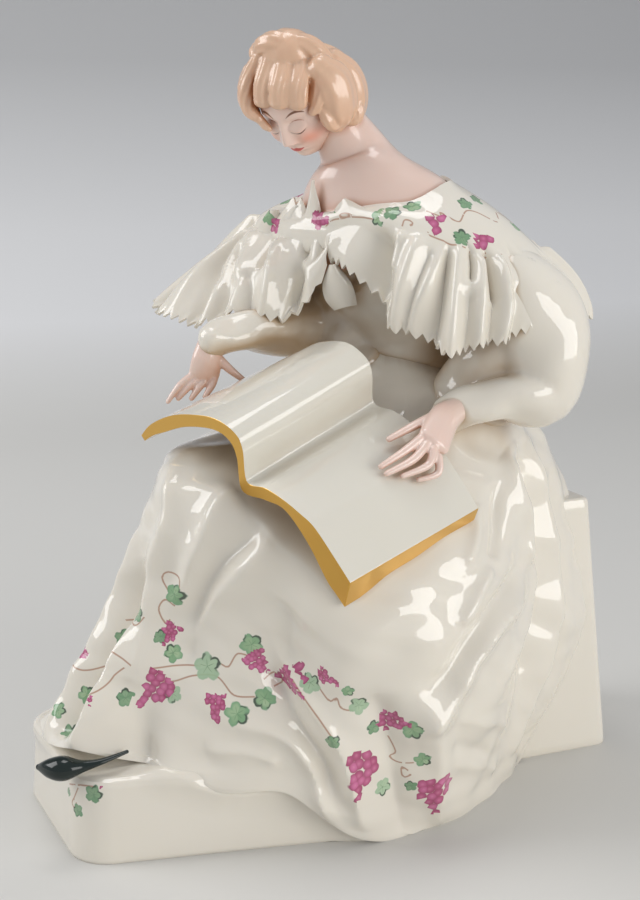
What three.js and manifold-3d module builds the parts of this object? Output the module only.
// A seated porcelain lady with an open book on her knees, cast in one piece with her seat and
// footrest. Millimetres, +Z up. The origin is on the ground inside the footprint, +X runs from
// the footrest to the seat, and the long front of the footrest looks towards -Y.
import * as THREE from 'three';
import { mergeVertices } from 'three/addons/utils/BufferGeometryUtils.js';
import { LoftGeometry } from 'three/addons/geometries/LoftGeometry.js';
import Module from 'manifold-3d';

const wasm = await Module();
wasm.setup();

// Driving dimensions
const FOOTREST_HIGH = 27;
const SEAT_HIGH = 93;
const BOOK_LONG = 55;
const FRILL_THICK = 2;
const HEAD_LONG = 36;

const { degToRad, euclideanModulo, lerp } = THREE.MathUtils;
const point = (x, y, z = 0) => new THREE.Vector3(x, y, z);

// Her own directions, level with the ground: the way she faces and her left-hand side.
const FACING = point(-0.75, -0.66).normalize();
const LEFTWARD = point(0.66, -0.75).normalize();

// A closed geometry as a solid that can be joined to the others.
function solid(geometry) {
  const bare = new THREE.BufferGeometry();
  bare.setAttribute('position', geometry.attributes.position);
  bare.setIndex(geometry.index);
  const merged = mergeVertices(bare, 1e-3);
  return new wasm.Manifold(new wasm.Mesh({
    numProp: 3,
    vertProperties: merged.attributes.position.array,
    triVerts: merged.index.array,
  }));
}

function loft(sections) {
  return solid(new LoftGeometry(sections, { capStart: true, capEnd: true }));
}

function hermite(before, a, b, after, spans, f) {
  const [spanBefore, span, spanAfter] = spans;
  return a.map((value, k) => {
    const slopeA = (b[k] - before[k]) / (spanBefore + span) * span;
    const slopeB = (after[k] - value) / (span + spanAfter) * span;
    const rise = b[k] - value;
    return value + slopeA * f + (3 * rise - 2 * slopeA - slopeB) * f ** 2
      + (slopeA + slopeB - 2 * rise) * f ** 3;
  });
}

// A smooth curve through rows of numbers, read at a place counted in rows.
function along(rows, place) {
  const last = rows.length - 1;
  const row = Math.min(Math.floor(place), last - 1);
  const before = rows[Math.max(row - 1, 0)];
  const after = rows[Math.min(row + 2, last)];
  return hermite(before, rows[row], rows[row + 1], after, [1, 1, 1], place - row);
}

// A smooth closed curve through rows [angle in degrees, value, ...], read at an angle.
function around(rows, angle) {
  const turned = euclideanModulo(angle - rows[0][0], 360) + rows[0][0];
  const row = rows.findLastIndex((r) => r[0] <= turned);
  const [before, a, b, after] = [-1, 0, 1, 2].map((step) => {
    const lap = Math.floor((row + step) / rows.length);
    const [at, ...values] = rows[euclideanModulo(row + step, rows.length)];
    return { at: at + 360 * lap, values };
  });
  return hermite(before.values, a.values, b.values, after.values,
    [a.at - before.at, b.at - a.at, after.at - b.at], (turned - a.at) / (b.at - a.at));
}

// A limb: oval sections along stations [x, y, z, half width, half depth], with rounded ends.
// The width lies along the across direction.
function limb(stations, { sides = 10, steps = 6, across = LEFTWARD } = {}) {
  const last = stations.length - 1;
  const section = (step, shift, scale) => {
    const [x, y, z, wide, deep] = along(stations, (step / steps) * last);
    const ahead = along(stations, Math.min(step / steps + 0.01, 1) * last);
    const behind = along(stations, Math.max(step / steps - 0.01, 0) * last);
    const way = point(...ahead.slice(0, 3)).sub(point(...behind.slice(0, 3))).normalize();
    const side = across.clone().addScaledVector(way, -across.dot(way)).normalize();
    const front = way.clone().cross(side);
    return Array.from({ length: sides }, (_, j) => {
      const a = (j / sides) * 2 * Math.PI;
      return point(x, y, z)
        .addScaledVector(side, scale * wide * Math.cos(a))
        .addScaledVector(front, scale * deep * Math.sin(a))
        .addScaledVector(way, shift * Math.min(wide, deep));
    });
  };
  const sections = Array.from({ length: steps + 1 }, (_, step) => section(step, 0, 1));
  const domes = [[0.5, 0.87], [0.86, 0.5]];
  domes.forEach(([shift, scale]) => {
    sections.unshift(section(0, -shift, scale));
    sections.push(section(steps, shift, scale));
  });
  return loft(sections);
}

// A block with upright rounded corners and a softened top edge. The corners run
// counterclockwise, on the ground and again at the top.
function block(footCorners, topCorners, radius, high, edge) {
  const plan = (rise, inset) => {
    const corners = footCorners.map((foot, k) => foot.clone().lerp(topCorners[k], rise));
    return corners.flatMap((corner, k) => {
      const arriving = corner.clone().sub(corners[(k + corners.length - 1) % corners.length]).normalize();
      const leaving = corners[(k + 1) % corners.length].clone().sub(corner).normalize();
      const turn = arriving.angleTo(leaving);
      const inwards = leaving.clone().sub(arriving).normalize();
      const centre = corner.clone().addScaledVector(inwards, (radius + inset) / Math.cos(turn / 2));
      const from = Math.atan2(-arriving.x, arriving.y);
      return [0, 0.25, 0.5, 0.75, 1].map((f) => point(
        centre.x + radius * Math.cos(from + turn * f),
        centre.y + radius * Math.sin(from + turn * f),
        rise * high,
      ));
    });
  };
  return loft([
    plan(0, 0.6), plan(0.8 / high, 0), plan(1 - edge / high, 0),
    plan(1 - 0.3 * edge / high, 0.3 * edge), plan(1, edge),
  ]);
}

const footrest = block(
  [point(-95, -43), point(14, -53), point(14, 26), point(-103, 26)],
  [point(-94, -42), point(14, -51), point(14, 25), point(-101, 25)],
  13, FOOTREST_HIGH, 2.5,
);
const seat = block(
  [point(26.1, -15.6), point(105.7, -7.2), point(99.3, 54.4), point(19.7, 46)],
  [point(28, -12.6), point(96.8, -4.2), point(91, 51), point(21, 43)],
  4, SEAT_HIGH, 1.5,
);

// The skirt falls from the waist over her lap and knees, the seat and the footrest. It is read
// around an upright axis through the lap. Each row is [angle, then distance from the axis and
// height, at the lap, the knees, the calves and the hem].
const SKIRT_AXIS = point(25, 12);
const SKIRT = [
  [0, 36, 134, 56, 114, 61, 100, 62, 90],
  [20, 36, 132, 54, 112, 58, 100, 58, 88],
  [45, 34, 130, 52, 106, 59, 84, 58, 66],
  [60, 32, 130, 46, 106, 48, 78, 47, 48],
  [80, 30, 130, 40, 108, 42, 66, 42, 26],
  [100, 30, 130, 40, 106, 43, 54, 45, 0],
  [120, 32, 128, 44, 104, 48, 50, 51, 0],
  [140, 36, 126, 52, 106, 57, 52, 59, 0],
  [155, 42, 125, 60, 108, 64, 54, 67, 0],
  [168, 48, 124, 68, 112, 80, 60, 92, 25],
  [180, 52, 124, 76, 114, 94, 62, 120, 27],
  [188, 54, 125, 82, 117, 99, 68, 124, 28],
  [195, 54, 125, 85, 118, 102, 74, 128, 32],
  [201, 54, 125, 86, 118, 103, 75, 127, 33],
  [207, 52, 124, 88, 115, 98, 72, 108, 27],
  [213, 50, 122, 88, 110, 95, 70, 102, 25],
  [220, 48, 122, 87, 104, 90, 66, 91, 24],
  [229, 46, 122, 85, 97, 86, 58, 86, 20],
  [242, 44, 122, 84, 88, 81, 50, 77, 4],
  [254, 44, 124, 79, 88, 76, 46, 68, 0],
  [274, 42, 126, 67, 96, 67, 48, 59, 0],
  [290, 40, 128, 58, 100, 60, 50, 52, 0],
  [303, 38, 130, 55, 104, 56, 50, 49, 0],
  [318, 37, 132, 52, 108, 57, 52, 48, 0],
  [328, 37, 133, 51, 112, 61, 54, 48.5, 0],
  [338, 37, 134, 53, 115, 67, 54, 56, 12],
  [346, 37, 134, 56, 115, 71, 62, 71, 46],
  [352, 36, 134, 57, 114, 66, 96, 68, 88],
];
const SKIRT_TOP = [8, 148];

// Folds: each a ridge, or a hollow where its height is negative, from one place on the skirt to
// another. A place is [angle, stage], where stage 1 is the lap, 2 the knees, 3 the calves and
// 4 the hem. Then the half width in degrees and the height.
const FOLDS = [
  [[199, 1.9], [199, 4.1], 3.5, 3],
  [[212, 2.1], [207, 4.1], 4, -6],
  [[221, 2.0], [219, 3.7], 3.5, 4],
  [[231, 2.2], [230, 3.9], 4.5, -5],
  [[243, 1.9], [256, 4.0], 5, 5],
  [[256, 2.2], [268, 4.0], 4.5, -4],
  [[268, 2.0], [282, 3.9], 4.5, 3.5],
  [[288, 1.9], [296, 3.6], 5, -3.5],
  [[310, 1.5], [306, 3.8], 5, 4],
  [[330, 1.6], [322, 3.8], 4.5, -3.5],
  [[190, 2.2], [186, 4.0], 4, -4],
  [[174, 2.0], [174, 3.9], 4.5, 4],
  [[160, 2.0], [161, 3.9], 5, -4],
  [[143, 2.0], [146, 3.9], 5, 4],
  [[124, 2.0], [126, 3.9], 5.5, -4],
  [[104, 2.0], [107, 3.9], 5.5, 4],
  [[70, 2.0], [68, 3.9], 7, 4],
  [[40, 2.0], [44, 3.9], 7, 3],
];

function skirtPoint(angle, stage) {
  const row = around(SKIRT, angle);
  const stations = [SKIRT_TOP, row.slice(0, 2), row.slice(2, 4), row.slice(4, 6), row.slice(6, 8)];
  const [out, up] = along(stations, stage);
  const [outAhead, upAhead] = along(stations, Math.min(stage + 0.05, 4));
  const [outBehind, upBehind] = along(stations, Math.max(stage - 0.05, 0));
  const slope = Math.hypot(outAhead - outBehind, upAhead - upBehind);
  const swell = FOLDS.reduce((sum, [[angleA, stageA], [angleB, stageB], half, high]) => {
    const f = (stage - stageA) / (stageB - stageA);
    const fade = THREE.MathUtils.smoothstep(f, 0, 0.35) * (1 - THREE.MathUtils.smoothstep(f, 1, 1.2));
    const off = euclideanModulo(angle - lerp(angleA, angleB, f) + 180, 360) - 180;
    return sum + high * fade * Math.exp(-((off / half) ** 2));
  }, 0);
  const outwards = out + swell * (upBehind - upAhead) / slope;
  const height = Math.max(up + swell * (outAhead - outBehind) / slope, 0);
  const a = degToRad(angle);
  return point(SKIRT_AXIS.x + outwards * Math.cos(a), SKIRT_AXIS.y + outwards * Math.sin(a), height);
}

function skirt() {
  const sides = 84;
  const stages = [0.3, 1, 1.5, 1.85, 2.15, 2.5, 2.85, 3.2, 3.6, 4];
  const ring = (stage) => Array.from({ length: sides }, (_, j) => skirtPoint((j / sides) * 360, stage));
  const sections = stages.map(ring);
  const tuckedUnder = sections.at(-1).map((p) => point(
    lerp(SKIRT_AXIS.x, p.x, 0.55), lerp(SKIRT_AXIS.y, p.y, 0.55), 0,
  ));
  sections.push(tuckedUnder);
  return loft(sections.reverse());
}

// Body: waist, bodice, bare sloping shoulders and neck in one. The width lies from side to side.
const body = limb([
  [46, 15, 120, 24, 22], [37, 14, 142, 18, 16], [30, 11, 158, 20, 17], [23, 8, 175, 28, 20],
  [17, 8, 187, 38, 20], [15.5, 8, 196, 32, 16.5], [13, 8.5, 205, 21, 13.5],
  [11, 10, 214, 12, 11], [5, 9, 223, 9, 9],
], { sides: 18, steps: 14 });

// Sleeves: wide and puffed to the elbow, close at the wrist.
const leftSleeve = limb([
  [46, -19, 184, 12, 11], [57, -26, 169, 17, 15], [62, -31, 152, 16, 15], [60, -34, 138, 12, 11],
  [45, -35, 137, 8, 7.5], [28, -34, 133, 5.2, 5],
], { sides: 12, steps: 9, across: FACING });
const rightSleeve = limb([
  [-4, 32, 188, 11, 10], [-6, 34, 174, 15, 14], [0, 26, 160, 14, 13], [-10, 18, 156, 11, 10],
  [-26, 10, 156, 8, 7.5], [-39, 4, 154, 5.2, 5],
], { sides: 12, steps: 9, across: FACING });

// Hands: a flat palm, then four fingers and a thumb, each bent at its knuckle.
function hand(palm, digits) {
  const fingers = digits.map(([root, knuckle, tip, thick]) => limb([
    [...root, thick, thick], [...knuckle, thick, thick * 0.95], [...tip, thick * 0.65, thick * 0.6],
  ], { sides: 6, steps: 3 }));
  return [limb(palm, { sides: 10, steps: 4 }), ...fingers];
}
const leftHand = hand([[30, -33, 134, 4, 4], [22, -38, 130, 6.5, 4], [16, -42, 127, 7.5, 3.6]], [
  [[19, -34, 133], [11, -39, 131], [3, -44, 128.5], 2.2],
  [[14, -39, 129], [7, -46, 126], [-2, -53, 122], 2.1],
  [[15, -42, 127], [8, -49.5, 124.5], [-0.5, -55, 120.5], 2.1],
  [[17, -44, 125], [12, -51, 122.5], [4, -56.5, 119], 2],
  [[20, -45, 122.5], [17, -52, 120], [9.5, -56.5, 118], 1.9],
]);
const rightHand = hand([[-38, 5, 155, 4, 4], [-42, -1, 150, 6.5, 3.8], [-44, -6, 146, 7.5, 3.4]], [
  [[-38, -4, 149], [-33, -10, 147], [-30, -14, 145.5], 2.1],
  [[-39, -9, 145], [-40, -14, 142.5], [-43, -18, 140], 2],
  [[-43, -8, 145], [-46, -13, 143], [-50, -16, 139], 2],
  [[-47, -6, 145], [-52, -11, 142], [-57, -14, 137.5], 2],
  [[-50, -3, 145], [-56, -7, 142], [-62, -10, 137], 1.8],
]);

// The open book. Its section, across the spine, is [along the pages, height], page side first
// and then the underside back again. The spine runs from the far end towards her body.
const BOOK_FAR_END = point(-41.3, -43.5, 116.6);
const SPINE = point(0.869, 0.37, 0.33).normalize();
const ACROSS = point(0.391, -0.92, 0).normalize();
const PAGES_UP = SPINE.clone().cross(ACROSS).negate();

function book() {
  const section = (reach, leftScale, rightDrop) => {
    const profile = [
      [-50.5, 8.3], [-43, 13.3], [-31.6, 18], [-20.5, 20.6], [-6, 21.6], [2.7, 18.2], [4.3, 12.8],
      [1.5, 1.4], [9.9, 0.8], [17.2, -1.6], [23.6, -5], [28.5, -8.5], [33.6, -16.8], [38.1, -25],
      [32, -35], [27, -27], [23, -15], [16.7, -5.5], [8.2, -3.7], [-2.5, -2.5],
      [0, 9.6], [-1.5, 15.1], [-8.3, 17.4], [-22.7, 15.8], [-36.3, 11.6], [-49.5, 6.3],
    ];
    return profile.map(([w, n]) => {
      const scale = w < 0 ? leftScale : 1;
      return BOOK_FAR_END.clone()
        .addScaledVector(SPINE, reach)
        .addScaledVector(ACROSS, w * scale)
        .addScaledVector(PAGES_UP, n + (w > 0 ? rightDrop * w / 38 : 0));
    });
  };
  return loft([section(0, 1, 0), section(BOOK_LONG / 2, 0.88, -2), section(BOOK_LONG, 0.76, -5)]);
}

// Head and hair. The head leans far forward over the book. Its own places are given as
// [to her left, forwards, towards the crown] from its middle.
const HEAD_CENTRE = point(-7, 8, 230.5);
const LOOKING = FACING.clone().multiplyScalar(0.74).add(point(0, 0, -0.67)).normalize();
const CROWN = LOOKING.clone().cross(LEFTWARD);

function onHead(left, forwards, crownwards) {
  return HEAD_CENTRE.clone().addScaledVector(LEFTWARD, left)
    .addScaledVector(LOOKING, forwards).addScaledVector(CROWN, crownwards);
}

function head() {
  const rings = 12;
  const sides = 16;
  const sections = Array.from({ length: rings - 1 }, (_, i) => {
    const polar = ((i + 1) / rings) * Math.PI;
    const height = -Math.cos(polar) * HEAD_LONG / 2;
    const jaw = THREE.MathUtils.smoothstep(-height, 0, HEAD_LONG / 2);
    const wide = 13 * Math.sin(polar) * (1 - 0.2 * jaw);
    const deep = 15 * Math.sin(polar) * (1 - 0.1 * jaw);
    return Array.from({ length: sides }, (__, j) => {
      const a = (j / sides) * 2 * Math.PI;
      const nose = 2.8 * Math.exp(-(((height + 3.4) / 3) ** 2)) * Math.max(Math.cos(a), 0) ** 12;
      return onHead(wide * Math.sin(a), deep * Math.cos(a) + nose + 1.5 * jaw, height);
    });
  });
  return loft(sections);
}

// A lock of hair through places on the head, each [left, forwards, crownwards, width, depth].
function lock(places, across, sides = 8, steps = 4) {
  const stations = places.map(([l, f, c, wide, deep]) => [...onHead(l, f, c), wide, deep]);
  return limb(stations, { sides, steps, across });
}
const fringe = [-10, -4, 2, 8].map((left, k) => lock([
  [left, 6, 18, 4, 3], [left, 12, 14.5, 4, 3], [left * 1.05, 15, 8.5 - (k % 2), 3.6, 2.4],
], LEFTWARD, 8, 3));
const crownRoll = lock([
  [-14, 3, 14, 4, 4], [-7, 5, 19.5, 4.8, 4.2], [2, 4, 21, 5.2, 4.6], [10, 2, 18.5, 4.8, 4.2],
  [15, -1, 13, 4, 4],
], LOOKING, 8, 7);
const sideWaves = [-1, 1].flatMap((side) => [
  lock([[11 * side, 2, 15, 5, 4], [16 * side, 3, 6, 6, 4.4], [15 * side, 5, -3, 4, 3.6]], LOOKING),
  lock([[10 * side, -7, 14, 6, 5], [15.5 * side, -7, 3, 7, 5], [13 * side, -6, -8, 5, 4.4]], LOOKING),
]);
const backHair = lock([[0, -3, 10, 14.5, 13], [0, -5, 2, 15, 14], [0, -7, -6, 13, 12]], LEFTWARD, 14, 4);
const hair = [...fringe, crownRoll, ...sideWaves, backHair];

// The frill lies round the shoulders: a band along the neckline, then a fluted flounce with a
// pinked edge, open at the front. Each row is [angle round her, neckline x, y, z, hem x, y, z].
const FRILL = [
  [-165, -15, 38, 188, -49, 44, 163],
  [-145, -12, 26, 187, -41, 29, 154],
  [-125, -7, 11, 187, -28, 15, 157],
  [-105, -2, 0, 188, -11, 0, 158],
  [-85, 5, -9, 191, 3, -15, 163],
  [-65, 15, -24, 190, 14, -29, 162],
  [-45, 29, -33, 186, 27, -41, 156],
  [-10, 52, -34, 181, 52, -42, 156],
  [20, 63, -26, 182, 77, -31, 164],
  [60, 54, -6, 190, 76, 0, 166],
  [100, 36, 16, 196, 58, 36, 166],
  [140, 12, 30, 197, 20, 58, 166],
  [170, -9, 41, 192, -20, 64, 166],
];
const FRILL_OPENS = -94;
const FRILL_CLOSES = 262;
const FLUTES = 24;
const POINTS = 55;

function frill() {
  const steps = 2 * POINTS;
  const section = (step) => {
    const turn = lerp(FRILL_OPENS, FRILL_CLOSES, step / steps);
    const [x, y, z, hemX, hemY, hemZ] = around(FRILL, turn);
    const neckline = point(x, y, z);
    const shorten = lerp(0.4, 1, THREE.MathUtils.smoothstep(turn, FRILL_OPENS, FRILL_OPENS + 38));
    const hem = neckline.clone().lerp(point(hemX, hemY, hemZ), shorten);
    const out = point(hemX, hemY).sub(point(x, y)).normalize();
    const at = (share, inside) => {
      const gathered = THREE.MathUtils.smoothstep(share, 0.2, 0.7);
      const swell = 4 * Math.sin(Math.PI * share) + 2.6 * gathered * Math.sin(degToRad(turn) * FLUTES);
      const pinking = share === 1 ? 1.4 * (-1) ** step : 0;
      return neckline.clone().lerp(hem, share)
        .addScaledVector(out, swell - (inside ? FRILL_THICK : 0))
        .add(point(0, 0, pinking - (inside ? FRILL_THICK * 0.5 : 0)));
    };
    return [at(0, false), at(0.5, false), at(1, false), at(1, true), at(0.5, true), at(0, true)];
  };
  return loft(Array.from({ length: steps + 1 }, (_, step) => section(step)));
}

const shoe = limb([
  [-79, -34, 32, 4.5, 4], [-90, -35.5, 31.5, 5, 4], [-98, -35, 31, 5, 4], [-104, -31, 29.5, 1.6, 1.6],
], { sides: 10, steps: 5 });

const lady = [
  footrest, seat, skirt(), body, leftSleeve, rightSleeve, ...leftHand, ...rightHand, book(),
  head(), ...hair, frill(), shoe,
].reduce((whole, piece) => whole.add(piece));

function meshOf(whole, name, material) {
  const { vertProperties, triVerts } = whole.getMesh();
  const geometry = new THREE.BufferGeometry();
  geometry.setAttribute('position', new THREE.BufferAttribute(vertProperties, 3));
  geometry.setIndex(new THREE.BufferAttribute(triVerts, 1));
  geometry.computeVertexNormals();
  const mesh = new THREE.Mesh(geometry, material);
  mesh.name = name;
  return mesh;
}

const glaze = new THREE.MeshStandardMaterial({ color: 0xf1eee4, roughness: 0.12, metalness: 0 });
const figurine = new THREE.Group();
figurine.add(meshOf(lady, 'reading_lady', glaze));

export default figurine;
